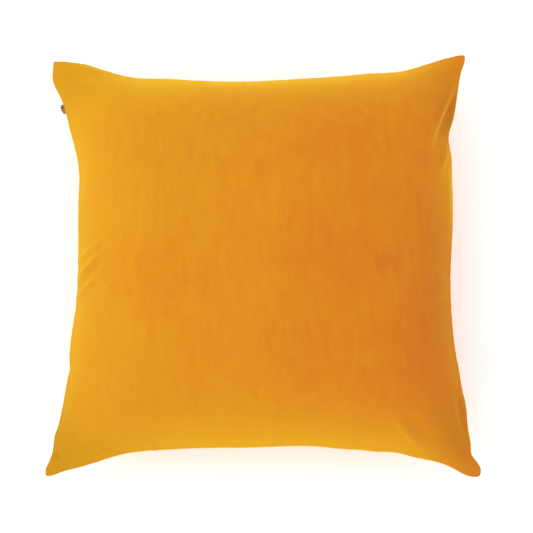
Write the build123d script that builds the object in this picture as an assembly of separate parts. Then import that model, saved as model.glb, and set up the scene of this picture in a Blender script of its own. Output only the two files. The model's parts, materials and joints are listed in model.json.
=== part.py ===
"""Square throw cushion: a velvet cover with a hidden side zip over a stuffed inner cushion.

The cushion lies on its back. The origin is the middle of the patch that it rests on, +Z is up
and the zip is in the seam on the -X side. Sizes are in millimetres.
"""
import os
from math import atan, comb, cos, degrees, sin

from build123d import *

# The stuffed cushion
TIP_SPAN = 480.0  # corner tip to corner tip along a side
DRAWN_IN_LEFT = 33.0  # how far the middle of the -X side is drawn in from between its tips
DRAWN_IN_RIGHT = 25.0  # the +X side
DRAWN_IN_TOP = 28.0  # the +Y side
DRAWN_IN_BOTTOM = 34.0  # the -Y side
FRONT_RISE = 80.0  # crown of the front above the seam
BACK_DEPTH = 76.0  # crown of the back below the seam, before it is flattened
REST_FLAT = 4.0  # depth of back crown that is pressed flat where the cushion rests
CROWN_ROUND = 0.25  # share of the crown's fall that is spread over its middle

# The velvet cover
VELVET = 1.4  # cloth and pile together
SEAM_ALLOWANCE = 12.0  # cloth turned in from the seam
STITCH_IN = 2.0  # line of the seam's stitches, in from the seam's edge
THREAD = 0.5
TIP_FILL = 8.0  # solid cloth in a tip, where the turned-in edges lie on each other
TIP_BLUNT = 8.0  # radius that rounds the hollow off beside the solid cloth
CORNER_TURN = 16.0  # seam left out of the thread and the overlock where they turn at a tip
OVERLOCK_WIDTH = 2.6  # depth of the overlock stitches over the turned-in edges
OVERLOCK_THREAD = 0.4

# The inner cushion
INSERT_CLOTH = 0.8
INSERT_GAP = 0.5  # clearance between the cover and the inner cushion
INSERT_STITCH_IN = 0.15  # line of its seam's stitches, in from its edge
INSERT_TIP_FILL = 2.0  # solid cloth in its tips
CLOSING_LENGTH = 130.0  # hand-sewn gap that the filling went in through
CLOSING_PITCH = 6.5

# The zip, measured along the seam, in from the seam's edge and up from the seam's plane
ZIP_FROM_TIP = 42.0  # corner tip to the end of the opening
LIP_GAP = 1.5  # slit between the two lips of the cover
LIP_DEPTH = 5.0  # lips, from the seam's edge in to the tape's fold
TAPE = 0.4
TAPE_WIDTH = 7.5  # from the fold in, under the cover
TAPE_TAIL = 6.0  # tape that runs on past each end of the opening
TAPE_STITCH_IN = 9.5
COIL_WIDTH = 1.9
COIL_HEIGHT = 1.1
COIL_SPACING = 1.0  # space between the two coils, where the slider's wedge runs
STOP_LENGTH = 4.0
STOP_OVERHANG = 0.3
BAR_TACK = 3.0
SLIDE_CLEARANCE = 0.3
SLIDER_LENGTH = 9.0
SLIDER_WALL = 0.5
WEDGE = 0.5
WEDGE_LENGTH = 5.4
BAIL_REACH = 3.1  # bail's outer end, out from the seam's edge
BAIL_POST = 0.9
BAIL_BAR_RADIUS = 0.6
PULL_CLEARANCE = 0.1
PULL_THICKNESS = 1.3
PULL_EYE_RADIUS = 1.6
PULL_WIDTH = 5.0
PULL_LENGTH = 24.0
PULL_NECK = 7.0  # bar to the start of the pull's full width

# The care label, a short loop sewn into the seam on the +X side
LABEL_WIDTH = 35.0
LABEL_DEPTH = 7.5
LABEL_CLOTH = 0.2
LABEL_FROM_MIDDLE = 120.0

DEGREE = 6  # of the crown's formula
PATCH_EDGES = (-1.0, -0.8, 0.0, 0.8, 1.0)  # where the crown is divided into patches
HALF = TIP_SPAN / 2
SEAM_Z = BACK_DEPTH - REST_FLAT
TIP_LEAN = atan(2 * DRAWN_IN_LEFT / HALF)  # lean of the zip side where it reaches its tips
SEWN_DEPTH = max(SEAM_ALLOWANCE + OVERLOCK_THREAD, LIP_DEPTH + TAPE_WIDTH)
INSERT_HALF = HALF - SEWN_DEPTH / cos(TIP_LEAN) - 2 * INSERT_GAP
SEAM_RADIUS = (HALF**2 + DRAWN_IN_LEFT**2) / (2 * DRAWN_IN_LEFT)
LEFT_MIDDLE_X = DRAWN_IN_LEFT - HALF
ARC_CENTRE_X = LEFT_MIDDLE_X - SEAM_RADIUS
OPENING_HALF = HALF - ZIP_FROM_TIP
COIL_IN = LIP_DEPTH + TAPE + SLIDE_CLEARANCE + SLIDER_WALL + SLIDE_CLEARANCE
CHANNEL_HALF = COIL_SPACING / 2 + COIL_HEIGHT + SLIDE_CLEARANCE
SLIDER_HALF = CHANNEL_HALF + SLIDER_WALL
SLIDER_IN = LIP_DEPTH + TAPE + SLIDE_CLEARANCE
SLIDER_DEPTH = COIL_IN + COIL_WIDTH + SLIDE_CLEARANCE + SLIDER_WALL - SLIDER_IN
TAPE_TOP = SLIDER_HALF + SLIDE_CLEARANCE + TAPE
SLIDER_AT = OPENING_HALF - BAR_TACK - STOP_LENGTH - SLIDER_LENGTH / 2 - SLIDE_CLEARANCE
BAR_OUT = BAIL_REACH - BAIL_BAR_RADIUS


def bezier_row(powers, start, end):
    """Control values between start and end of a polynomial, given lowest power first."""
    shifted = [
        sum(
            c * comb(k, j) * start ** (k - j) * (end - start) ** j
            for k, c in enumerate(powers) if k >= j
        )
        for j in range(DEGREE + 1)
    ]
    return [
        sum(comb(i, j) / comb(DEGREE, j) * shifted[j] for j in range(i + 1))
        for i in range(DEGREE + 1)
    ]


def crown_patch(half, fuller, level, rise, across, along):
    """One patch of a crown: x = u (side at v), y = v (side at u), height = rise c(u) c(v)."""
    drawn_x = (DRAWN_IN_LEFT if across[0] < 0 else DRAWN_IN_RIGHT) - fuller
    drawn_y = (DRAWN_IN_BOTTOM if along[0] < 0 else DRAWN_IN_TOP) - fuller
    crown = [1, 0, -CROWN_ROUND, 0, 0, 0, CROWN_ROUND - 1]
    place_u, crown_u = bezier_row([0, 1], *across), bezier_row(crown, *across)
    place_v, crown_v = bezier_row([0, 1], *along), bezier_row(crown, *along)
    side_x = bezier_row([half - drawn_x, 0, drawn_x], *along)
    side_y = bezier_row([half - drawn_y, 0, drawn_y], *across)
    net = [
        [
            (
                place_u[i] * side_x[j],
                side_y[i] * place_v[j],
                SEAM_Z + level + rise * crown_u[i] * crown_v[j],
            )
            for j in range(DEGREE + 1)
        ]
        for i in range(DEGREE + 1)
    ]
    return Face.make_bezier_surface(net)


def dome(half, rise, fuller=0.0, level=0.0):
    """Half a cushion: a crown over a square with drawn-in sides, closed by a flat base.

    fuller is how much less the sides are drawn in than the cushion's own.
    """
    spans = list(zip(PATCH_EDGES, PATCH_EDGES[1:]))
    patches = [
        crown_patch(half, fuller, level, rise, across, along)
        for across in spans for along in spans
    ]
    base = outline_face(half, fuller, level)
    solid = Solid(Shell([*patches, base]))
    return solid if solid.volume > 0 else Solid(-solid.wrapped)


def slab(low, high, side=2 * TIP_SPAN):
    """A wide flat block between two heights above the seam's plane."""
    return Pos(0, 0, SEAM_Z + (low + high) / 2) * Box(side, side, high - low)


def outline_face(half, fuller, level):
    """The flat outline of a square with drawn-in sides, each side a parabola cut at the patches."""

    def stretch(turn, drawn_in, start, end):
        """One stretch of the side that is a number of quarter turns on from +X."""
        bulge = bezier_stretch([half - drawn_in, 0, drawn_in], start, end)
        run = bezier_stretch([0, half, 0], start, end)
        points = list(zip(bulge, run))
        for _ in range(turn):
            points = [(-y, x) for x, y in points]
        return Edge.make_bezier(*[(x, y, SEAM_Z + level) for x, y in points])

    drawn = (DRAWN_IN_RIGHT, DRAWN_IN_TOP, DRAWN_IN_LEFT, DRAWN_IN_BOTTOM)
    edges = [
        stretch(turn, drawn_in - fuller, start, end)
        for turn, drawn_in in enumerate(drawn)
        for start, end in zip(PATCH_EDGES, PATCH_EDGES[1:])
    ]
    return Face(Wire(edges))


def bezier_stretch(powers, start, end):
    """The three control values of a parabola between two of its points."""
    constant, slope, square = powers
    first = constant + slope * start + square * start**2
    last = constant + slope * end + square * end**2
    return [first, first + (end - start) * (slope + 2 * square * start) / 2, last]


def outline_prism(half, low, high):
    """The seam's outline at one size, as a block between two heights above the seam's plane."""
    return extrude(outline_face(half, 0, low), high - low, (0, 0, 1))


def seam_bar(inner, outer, low, high, start, end):
    """A bar that follows the zip's arc, between two depths in from the seam's edge."""

    def at(depth, along):
        radius = SEAM_RADIUS + depth
        angle = along / SEAM_RADIUS
        return Vector(ARC_CENTRE_X + radius * cos(angle), radius * sin(angle), SEAM_Z + low)

    middle = (start + end) / 2
    rim = [
        Edge.make_three_point_arc(at(inner, start), at(inner, middle), at(inner, end)),
        Edge.make_line(at(inner, end), at(outer, end)),
        Edge.make_three_point_arc(at(outer, end), at(outer, middle), at(outer, start)),
        Edge.make_line(at(outer, start), at(inner, start)),
    ]
    return extrude(Face(Wire(rim)), high - low, (0, 0, 1))


def mirrored(shape):
    """The same piece on the other side of the seam's plane."""
    return mirror(shape, about=Plane.XY.offset(SEAM_Z))


def along_zip(shape, along):
    """Moves a piece from the middle of the zip to a place along it."""
    return shape.rotate(Axis((ARC_CENTRE_X, 0, 0), (0, 0, 1)), degrees(along / SEAM_RADIUS))


def cavity(half, rise, wall, tip_fill, turned=0.0, turned_width=0.0, floor=0.0):
    """The hollow inside a panel, set in from its tips, above any turned-in edge and the floor."""
    sign = 1 if rise > 0 else -1
    hollow = dome(
        half - tip_fill, rise - sign * (wall + turned), tip_fill - wall, sign * turned
    )
    for x in (tip_fill - half, half - tip_fill):
        for y in (tip_fill - half, half - tip_fill):
            hollow -= Pos(x, y, SEAM_Z) * Cylinder(TIP_BLUNT, TIP_SPAN)
    if floor:
        hollow = hollow & slab(floor - SEAM_Z, 0)
    if turned:
        hollow += outline_prism(half - turned_width, *sorted((0, sign * turned)))
    return hollow


def lip(side):
    """The cover's edge beside the zip, raised over the tape, on one side of the seam's plane."""
    block = seam_bar(0, SEAM_ALLOWANCE, LIP_GAP / 2, TAPE_TOP + VELVET, -tape_half(), tape_half())
    return block if side > 0 else mirrored(block)


def tape_half():
    """Half the length of the zip's tape, along the seam."""
    return OPENING_HALF + TAPE_TAIL


def zip_space():
    """What the zip takes out of the panels: the slit between the lips and the tunnel behind."""
    slit = seam_bar(-5, LIP_DEPTH, -LIP_GAP / 2, LIP_GAP / 2, -OPENING_HALF, OPENING_HALF)
    tunnel = seam_bar(
        LIP_DEPTH, SEAM_ALLOWANCE + 1, -TAPE_TOP, TAPE_TOP, -tape_half(), tape_half()
    )
    return slit + tunnel


def seam_runs(half, width, low, high, gap=None):
    """A band that follows the seam inside one outline, left open at the four tips and a gap."""
    ring = outline_prism(half, low, high) - outline_prism(half - width, low, high)
    for x in (-half, half):
        for y in (-half, half):
            ring -= Pos(x, y, SEAM_Z) * Box(2 * CORNER_TURN, 2 * CORNER_TURN, TIP_SPAN)
    return ring - gap if gap else ring


def zip_stretch():
    """The stretch of seam that the zip takes up, tape and all."""
    half = tape_half() + 1
    return seam_bar(-5, 2 * SEAM_ALLOWANCE, -TIP_SPAN / 20, TIP_SPAN / 20, -half, half)


def seam_thread():
    """The lockstitch between both allowances, all round but for the zip."""
    return seam_runs(HALF - STITCH_IN, THREAD, -THREAD / 2, THREAD / 2, zip_stretch())


def overlock():
    """The overlock threads wrapped round the raw edges of both allowances."""
    reach = VELVET + OVERLOCK_THREAD
    inner = HALF - SEAM_ALLOWANCE
    width = OVERLOCK_WIDTH + OVERLOCK_THREAD
    wrap = seam_runs(inner + OVERLOCK_WIDTH, width, -reach, reach, zip_stretch())
    return wrap - (outline_prism(HALF, -VELVET, VELVET) - outline_prism(inner, -VELVET, VELVET))


def panel(side):
    """One velvet panel of the cover, with its allowance and its lip of the zip."""
    rise = FRONT_RISE if side > 0 else -BACK_DEPTH
    outer = dome(HALF, rise)
    floor = 0.0
    if side < 0:
        outer = outer & slab(-SEAM_Z, 0)
        floor = VELVET
    hollow = cavity(HALF, rise, VELVET, TIP_FILL, VELVET, SEAM_ALLOWANCE, floor) - lip(side)
    return outer - hollow - zip_space()


def tape(side):
    """One zip tape: from the coil out to the lip, round its fold and back in under the cover."""
    ends = (-tape_half(), tape_half())
    near = COIL_SPACING / 2
    coil_leg = seam_bar(LIP_DEPTH, COIL_IN, near, near + TAPE, *ends)
    fold = seam_bar(LIP_DEPTH, LIP_DEPTH + TAPE, near, TAPE_TOP, *ends)
    sewn_leg = seam_bar(LIP_DEPTH, LIP_DEPTH + TAPE_WIDTH, TAPE_TOP - TAPE, TAPE_TOP, *ends)
    whole = coil_leg + fold + sewn_leg
    return whole if side > 0 else mirrored(whole)


def coil(side):
    """One row of the zip's coil, as the bar that its turns fill."""
    end = OPENING_HALF - BAR_TACK
    low = COIL_SPACING / 2
    row = seam_bar(COIL_IN, COIL_IN + COIL_WIDTH, low, low + COIL_HEIGHT, -end, end - STOP_LENGTH)
    return row if side > 0 else mirrored(row)


def top_stops():
    """The two stops above the closed slider, one on each coil's end."""
    end = OPENING_HALF - BAR_TACK
    low = COIL_SPACING / 2
    stop = seam_bar(
        COIL_IN, COIL_IN + COIL_WIDTH + STOP_OVERHANG, low, low + COIL_HEIGHT + STOP_OVERHANG,
        end - STOP_LENGTH, end,
    )
    return [stop, mirrored(stop)]


def bottom_stop():
    """The stop that joins both coils at the zip's lower end."""
    end = OPENING_HALF - BAR_TACK
    reach = COIL_SPACING / 2 + COIL_HEIGHT + STOP_OVERHANG
    depth = COIL_IN + COIL_WIDTH
    whole = seam_bar(COIL_IN, depth + STOP_OVERHANG, -reach, reach, -end - STOP_LENGTH, -end)
    return whole


def bar_tacks():
    """The dense stitches that close the slit at both ends of the opening."""
    return [
        seam_bar(1, LIP_DEPTH, -LIP_GAP / 2, LIP_GAP / 2, start, start + BAR_TACK)
        for start in (-OPENING_HALF, OPENING_HALF - BAR_TACK)
    ]


def tape_stitches():
    """The two lines of stitches that hold the tapes to the cover."""
    line = seam_bar(
        TAPE_STITCH_IN, TAPE_STITCH_IN + THREAD, TAPE_TOP, TAPE_TOP + VELVET,
        -tape_half() + 1, tape_half() - 1,
    )
    return [line, mirrored(line)]


def slider():
    """The slider: a channel round both coils, a wedge between them and a bail outside."""
    half = SLIDER_LENGTH / 2
    back = SLIDER_IN + SLIDER_DEPTH
    body = seam_bar(SLIDER_IN, back, -SLIDER_HALF, SLIDER_HALF, -half, half)
    body -= seam_bar(
        SLIDER_IN + SLIDER_WALL, back - SLIDER_WALL, -CHANNEL_HALF, CHANNEL_HALF, -half, half
    )
    mouth = COIL_SPACING / 2 + TAPE + SLIDE_CLEARANCE
    body -= seam_bar(SLIDER_IN, SLIDER_IN + SLIDER_WALL, -mouth, mouth, -half, half)
    wedge_half = WEDGE_LENGTH / 2
    body += seam_bar(-BAIL_POST, back, -WEDGE / 2, WEDGE / 2, -wedge_half, wedge_half)
    for start in (-wedge_half, wedge_half - BAIL_POST):
        body += seam_bar(
            -BAIL_REACH, -BAIL_POST / 2, -BAIL_BAR_RADIUS, BAIL_BAR_RADIUS,
            start, start + BAIL_POST,
        )
    bar = Cylinder(BAIL_BAR_RADIUS, WEDGE_LENGTH, rotation=(90, 0, 0))
    body += Pos(LEFT_MIDDLE_X - BAR_OUT, 0, SEAM_Z) * bar
    return along_zip(body, SLIDER_AT)


def pull():
    """The slider's pull, a flat drop with an eye on the bail's bar, hanging down."""
    half = PULL_WIDTH / 2
    neck = PULL_EYE_RADIUS
    with BuildSketch(Plane.XZ) as drop:
        with Locations((0, -(PULL_NECK + PULL_LENGTH - half) / 2 - half / 2)):
            SlotOverall(PULL_LENGTH - PULL_NECK + half, PULL_WIDTH, rotation=90)
        Circle(PULL_EYE_RADIUS)
        with Locations((0, -PULL_NECK / 2 - half / 2)):
            Rectangle(2 * neck * 0.8, PULL_NECK)
        Circle(BAIL_BAR_RADIUS + PULL_CLEARANCE, mode=Mode.SUBTRACT)
    blade = extrude(drop.sketch, PULL_THICKNESS / 2, both=True)
    placed = Pos(LEFT_MIDDLE_X - BAR_OUT, 0, SEAM_Z) * blade
    return along_zip(placed, SLIDER_AT)


def care_label():
    """A blank label, a folded strip lying on the overlocked allowance of the +X side."""
    height = 3 * LABEL_CLOTH
    strip = Box(LABEL_DEPTH, LABEL_WIDTH, height)
    strip -= Pos(LABEL_CLOTH, 0, 0) * Box(LABEL_DEPTH, LABEL_WIDTH, LABEL_CLOTH)
    side_x = HALF - DRAWN_IN_RIGHT + DRAWN_IN_RIGHT * (LABEL_FROM_MIDDLE / HALF) ** 2
    turn = atan(2 * DRAWN_IN_RIGHT * LABEL_FROM_MIDDLE / HALF**2)
    depth = SEAM_ALLOWANCE - LABEL_DEPTH / 2
    place = Pos(
        side_x - depth * cos(turn), -LABEL_FROM_MIDDLE - depth * sin(turn),
        SEAM_Z + VELVET + OVERLOCK_THREAD + height / 2,
    )
    return place * Rot(0, 0, degrees(turn)) * strip


def insert_panel(side):
    """One panel of the inner cushion's cotton shell."""
    clear = VELVET + INSERT_GAP
    outer = dome(INSERT_HALF, FRONT_RISE - clear if side > 0 else clear - BACK_DEPTH)
    if side < 0:
        outer = outer & slab(clear - SEAM_Z, 0)
    return outer - insert_hollow(side)


def insert_hollow(side):
    """The space inside one panel of the inner cushion's shell."""
    clear = VELVET + INSERT_GAP
    rise = FRONT_RISE - clear if side > 0 else clear - BACK_DEPTH
    floor = 0.0 if side > 0 else clear + INSERT_CLOTH
    return cavity(INSERT_HALF, rise, INSERT_CLOTH, INSERT_TIP_FILL, floor=floor)


def insert_thread():
    """The machine seam that joins the inner cushion's panels, but for the closing gap."""
    gap = Pos(0, -HALF, SEAM_Z) * Box(CLOSING_LENGTH, TIP_SPAN, TIP_SPAN / 20)
    half = INSERT_HALF - INSERT_STITCH_IN
    return seam_runs(half, THREAD, -THREAD / 2, THREAD / 2, gap)


def closing_stitches():
    """The ladder stitches that close the gap on the -Y side, a row of short threads."""
    count = int(CLOSING_LENGTH / CLOSING_PITCH)
    out = INSERT_HALF - DRAWN_IN_BOTTOM
    stitches = []
    for k in range(count):
        x = (k - (count - 1) / 2) * CLOSING_PITCH
        y = -out - DRAWN_IN_BOTTOM * (x / INSERT_HALF) ** 2
        middle = y + INSERT_STITCH_IN + THREAD / 2
        stitches.append(Pos(x, middle, SEAM_Z) * Box(CLOSING_PITCH / 2, THREAD / 2, 2 * THREAD))
    return stitches


def filling():
    """The fibre filling, pressed into one crowned block by the shell."""
    return insert_hollow(1) + insert_hollow(-1)


def main():
    """Builds each piece and writes it as one STEP file."""
    pieces = {
        "front_panel": panel(1),
        "back_panel": panel(-1),
        "cover_seam_thread": seam_thread(),
        "overlock_edge": overlock(),
        "zip_tape_front": tape(1),
        "zip_tape_back": tape(-1),
        "zip_coil_front": coil(1),
        "zip_coil_back": coil(-1),
        "zip_stitching": tape_stitches(),
        "zip_slider": slider(),
        "zip_pull": pull(),
        "zip_top_stops": top_stops(),
        "zip_bottom_stop": bottom_stop(),
        "zip_bar_tacks": bar_tacks(),
        "care_label": care_label(),
        "insert_front": insert_panel(1),
        "insert_back": insert_panel(-1),
        "insert_seam_thread": insert_thread(),
        "insert_closing_stitch": closing_stitches(),
        "insert_filling": filling(),
    }
    os.makedirs("parts", exist_ok=True)
    for node, shape in pieces.items():
        whole = Compound(shape) if isinstance(shape, list) else shape
        export_step(whole, f"parts/{node}.step")
    travel = degrees((SLIDER_AT + OPENING_HALF - BAR_TACK - SLIDER_LENGTH / 2) / SEAM_RADIUS)
    print("seam height", SEAM_Z, "zip arc centre x", ARC_CENTRE_X, "seam radius", SEAM_RADIUS)
    print("slider travel, degrees", travel - degrees(SLIDE_CLEARANCE / SEAM_RADIUS))
    angle = SLIDER_AT / SEAM_RADIUS
    radius = SEAM_RADIUS - BAR_OUT
    print("pull bar at", ARC_CENTRE_X + radius * cos(angle), radius * sin(angle), SEAM_Z)
    print("pull bar direction", -sin(angle), cos(angle), 0)


main()
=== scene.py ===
"""A square velvet throw cushion lying on a pale floor.

The velvet cover is two cut panels, stuffed by a cloth simulation whose seam is held on the cushion's
outline. Everything else that is sewn follows the same seam line: the stitches, the overlock, and the
tapes and coils of the hidden zip on the -X side. Lengths are in metres.
"""
import json
import math

import bpy
import numpy as np
from mathutils import Matrix, Vector


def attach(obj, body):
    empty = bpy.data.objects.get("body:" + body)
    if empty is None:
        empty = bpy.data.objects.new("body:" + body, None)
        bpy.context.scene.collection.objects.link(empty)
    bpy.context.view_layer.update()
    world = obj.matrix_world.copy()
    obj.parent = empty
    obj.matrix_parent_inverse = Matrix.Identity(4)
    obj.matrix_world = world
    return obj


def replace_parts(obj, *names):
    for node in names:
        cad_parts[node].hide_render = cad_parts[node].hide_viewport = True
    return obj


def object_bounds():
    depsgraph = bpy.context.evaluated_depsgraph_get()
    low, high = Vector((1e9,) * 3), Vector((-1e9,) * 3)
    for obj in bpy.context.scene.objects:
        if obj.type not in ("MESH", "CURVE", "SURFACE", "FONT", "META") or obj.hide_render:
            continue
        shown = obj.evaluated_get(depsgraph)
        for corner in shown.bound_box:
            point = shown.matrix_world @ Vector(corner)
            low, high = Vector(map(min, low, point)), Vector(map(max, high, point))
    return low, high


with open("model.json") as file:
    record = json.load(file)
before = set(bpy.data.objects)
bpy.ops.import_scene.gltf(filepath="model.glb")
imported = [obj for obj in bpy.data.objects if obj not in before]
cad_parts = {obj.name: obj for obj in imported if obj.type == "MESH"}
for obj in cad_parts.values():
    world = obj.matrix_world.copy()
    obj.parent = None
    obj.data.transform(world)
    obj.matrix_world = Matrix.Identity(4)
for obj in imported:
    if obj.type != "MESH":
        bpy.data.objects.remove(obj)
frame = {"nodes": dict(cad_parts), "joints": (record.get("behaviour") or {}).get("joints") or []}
cad_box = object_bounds()

# ---------------------------------------------------------------- sizes, from the frame
ZIP_JOINT = next(j for j in frame["joints"] if j["name"] == "zip_travel")
HALF = float(cad_box[1][0])  # half the distance between two corner tips
SEAM_Z = float(ZIP_JOINT["pos_m"][2])
ARC_CENTRE_X = float(ZIP_JOINT["pos_m"][0])
SEAM_RADIUS = math.hypot(ARC_CENTRE_X + HALF, HALF)
FRONT_RISE = float(cad_box[1][2]) - SEAM_Z
MM = 0.001

# how far the middle of each side is drawn in from the line between its tips
DRAWN_IN = {
    "left": ARC_CENTRE_X + SEAM_RADIUS + HALF,
    "right": 25 * MM,
    "top": 28 * MM,
    "bottom": 34 * MM,
}
# where a side swells or dips from that curve: place along it, spread, distance outwards
SIDE_WAVES = {
    "left": [(0.215, 0.019, 0.0072), (0.112, 0.040, -0.0058), (-0.088, 0.030, 0.0026),
             (-0.121, 0.008, -0.0016), (-0.196, 0.009, 0.0018), (-0.231, 0.009, 0.0026)],
    "right": [(0.232, 0.010, 0.0026), (0.142, 0.018, -0.0050), (0.050, 0.060, 0.0052),
              (-0.080, 0.030, -0.0006), (-0.128, 0.014, 0.0012), (-0.160, 0.018, 0.0020),
              (-0.216, 0.007, -0.0022), (-0.231, 0.010, 0.0052)],
    "top": [(-0.228, 0.012, 0.0020), (-0.204, 0.022, 0.0050), (-0.142, 0.026, -0.0030),
            (0.060, 0.050, 0.0010), (0.164, 0.026, -0.0036), (0.217, 0.016, 0.0022),
            (0.233, 0.009, 0.0016)],
    "bottom": [(-0.232, 0.010, 0.0020), (-0.150, 0.040, -0.0036), (-0.012, 0.060, 0.0042),
               (0.090, 0.024, 0.0016), (0.160, 0.034, -0.0026), (0.228, 0.018, 0.0068)],
}

# the seam's slow waves up and down: height, and radians over half a side
SEAM_WAVES = {
    "left": (0.0, 0.0), "right": (1.6 * MM, 5.1), "top": (1.1 * MM, 4.3), "bottom": (1.5 * MM, 6.2),
}
# stretches of the -Y side where the back panel shows under the front: place, spread, distance
BACK_PEEKS = [(-0.195, 0.030, 0.0016), (0.128, 0.012, 0.0014), (0.172, 0.018, 0.0018)]

# the cover's cloth
CUT_HALF = 250 * MM  # half the side of a panel inside its seam allowance
SEAM_ALLOWANCE = 12 * MM
VELVET = 1.4 * MM
# painted highlight beside each seam, the velvet's sheen where light grazes it: how much, and how far
# in it reaches
PAINTED_SEAM_SHEEN = {
    "left": (0.75, 26 * MM),
    "top": (0.9, 32 * MM),
    "bottom": (0.95, 46 * MM),
    "right": (0.02, 20 * MM),
}
# patches of painted shade, where the velvet is darkened: place, reach each way, strength
PAINTED_SHADE_PATCHES = [
    ((-0.235, -0.190), (0.036, 0.070), 0.95),
    ((-0.150, -0.218), (0.060, 0.018), 0.50),
    ((-0.230, 0.200), (0.034, 0.040), 0.50),
    ((-0.212, 0.000), (0.036, 0.170), 0.45),
    ((0.222, 0.160), (0.020, 0.050), 0.85),
    ((0.214, -0.060), (0.036, 0.110), 0.50),
    ((0.224, -0.200), (0.036, 0.050), 0.60),
]
NAP_UNEVENNESS = 1.3  # how much the nap's patches change its lean
LIGHT_SIDE_SLANT = 0.3  # the painted light runs across, and this much down for each step across
LIGHT_SIDE_SPAN = 1.05 * HALF  # painted light changes from the lit -X side to the painted shade of the +X side over this distance each way from the middle
TIP_FADE = 0.85  # share of the painted seam highlight that is lost at the tips
# the stretch of the +X side that has a painted highlight of its own: middle and reach along it, reach
# inwards
PAINTED_SHEEN_STRETCH = (85 * MM, 55 * MM, 11 * MM)
GATHER_HEIGHT = 0.55 * MM
GATHER_REACH = 11 * MM  # how far in the gathers die out
GATHER_LENGTHS = (13.1 * MM, 21.7 * MM, 37.0 * MM)
SEAM_GROOVE = (0.9 * MM, 0.8 * MM)  # depth and width of the line where the panels meet
SEAM_BEAD = (0.5 * MM, 2.2 * MM, 1.3 * MM)  # cloth standing up beside it: height, place, width
PEEK = (1.8 * MM, 1.4 * MM)  # where the back shows: place in from the seam, and width
SMOOTH_SEAM = 2 * MM  # the gathers start this far in
FOLD_START = 3 * MM  # and the folds this far
LIP_REACH = 3 * MM  # how far in the zip's slit lifts the cloth
LIP_CLOSING = 1.2 * MM  # length over which the slit closes
TIP_REACH = 3.2 * MM  # how far from its point a tip is blunted
FLOOR_BEND = 5 * MM  # height over which the back bends onto the floor
# how far each tip's point is turned in, by the signs of its place
TIP_BLUNTING = {(-1, 1): 0.8 * MM, (1, 1): 1.0 * MM, (-1, -1): 2.8 * MM, (1, -1): 1.4 * MM}
INSERT_CLOTH = 0.8 * MM
INSERT_IN = 15 * MM  # seam of the inner cushion, in from the cover's seam
INSERT_GAP = 1.2 * MM
INSERT_LINES = 121

# the zip, measured in from the seam and up from its plane
LIP_GAP = 1.5 * MM
OPENING_HALF = HALF - 42 * MM
TAPE_TAIL = 6 * MM
TAPE = 0.4 * MM
TAPE_FOLD = 6.3 * MM
TAPE_START = TAPE_FOLD + 1.3 * MM
TAPE_STEPS = 160
TAPE_LOW = 0.7 * MM
TAPE_HIGH = 2.9 * MM
TAPE_EDGE = 12.5 * MM
COIL_IN = 8.15 * MM
COIL_UP = 1.05 * MM
COIL_REACH = (0.75 * MM, 0.35 * MM)
COIL_WIRE = 0.2 * MM
COIL_PITCH = 1.1 * MM
COIL_END = OPENING_HALF - 7 * MM
COIL_STEPS = 8  # points in a turn
THREAD = 0.25 * MM

# the stitches: pitch, and place in from the seam
SEAM_STITCH = 3.2 * MM
SEAM_STITCH_IN = 2.0 * MM
TAPE_STITCH = 3.0 * MM
TAPE_STITCH_IN = 9.7 * MM
STITCH_SHARE = 0.66  # of the pitch that one stitch takes
STITCH_RISE = (-0.4, 0.6, 1.0, 1.0, 0.6, -0.4)  # height along a stitch, in threads
THREAD_GAP = 1 * MM  # what a row of stitches leaves free beside the end of a tape
STITCHED_TO = HALF - 9 * MM  # the seam's stitches turn no tighter into a tip
OVERLOCKED_TO = HALF - 16 * MM
OVERLOCK_PITCH = 3.0 * MM
OVERLOCK_STEPS = 6  # points in a turn
OVERLOCK_IN = 1.2 * MM  # its middle, in from the raw edge
OVERLOCK_REACH = (1.4 * MM, 1.7 * MM)
OVERLOCK_THREAD = 0.2 * MM
TACK_LENGTH = 3.0 * MM
TACK_TURNS = 26
TACK_IN = 1.6 * MM
TACK_SWING = 0.9 * MM

# simulation and mesh
SIM_CELLS = 100
SIM_FRAMES = 26
FINE_CELLS = 200
EDGE_STEP = 2.4 * MM  # from the last of the rows beside the seam to the even grid
EDGE_ROWS = (0, 0.4 * MM, 0.9 * MM, 1.5 * MM, 2.3 * MM, 3.4 * MM, 4.8 * MM)


# ---------------------------------------------------------------- the seam and the plan
def bell(value, middle, width):
    """A bell curve, 1 at its middle and 1/e at one width from it."""
    return np.exp(-(((value - middle) / width) ** 2))


def side_wave(side, along):
    """Distance outwards from a side's curve: a sum of bell curves along it."""
    return sum(much * bell(along, at, width) for at, width, much in SIDE_WAVES[side])


def seam_lift(side, t):
    """Height of the seam above its plane: two sines that die out at the tips, and none at the zip."""
    height, turns = SEAM_WAVES[side]
    wave = np.sin(turns * t + 0.6) + 0.5 * np.sin(2.7 * turns * t)
    return height * wave * (1 - t**2) ** 2


def plan(u, v):
    """Places (x, y) for u, v in -1..1: u times the drawn-in side at v, plus that side's waves."""
    drawn_x = np.where(u < 0, DRAWN_IN["left"], DRAWN_IN["right"])
    drawn_y = np.where(v < 0, DRAWN_IN["bottom"], DRAWN_IN["top"])
    wave_x = np.where(u < 0, side_wave("left", v * HALF), side_wave("right", v * HALF))
    wave_y = np.where(v < 0, side_wave("bottom", u * HALF), side_wave("top", u * HALF))
    x = u * (HALF - drawn_x * (1 - v**2) + np.abs(u) ** 5 * wave_x)
    y = v * (HALF - drawn_y * (1 - u**2) + np.abs(v) ** 5 * wave_y)
    return x, y


def directions(line):
    """Unit directions along lines of points."""
    run = np.gradient(line, axis=-2)
    return run / np.linalg.norm(run, axis=-1, keepdims=True)


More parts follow.
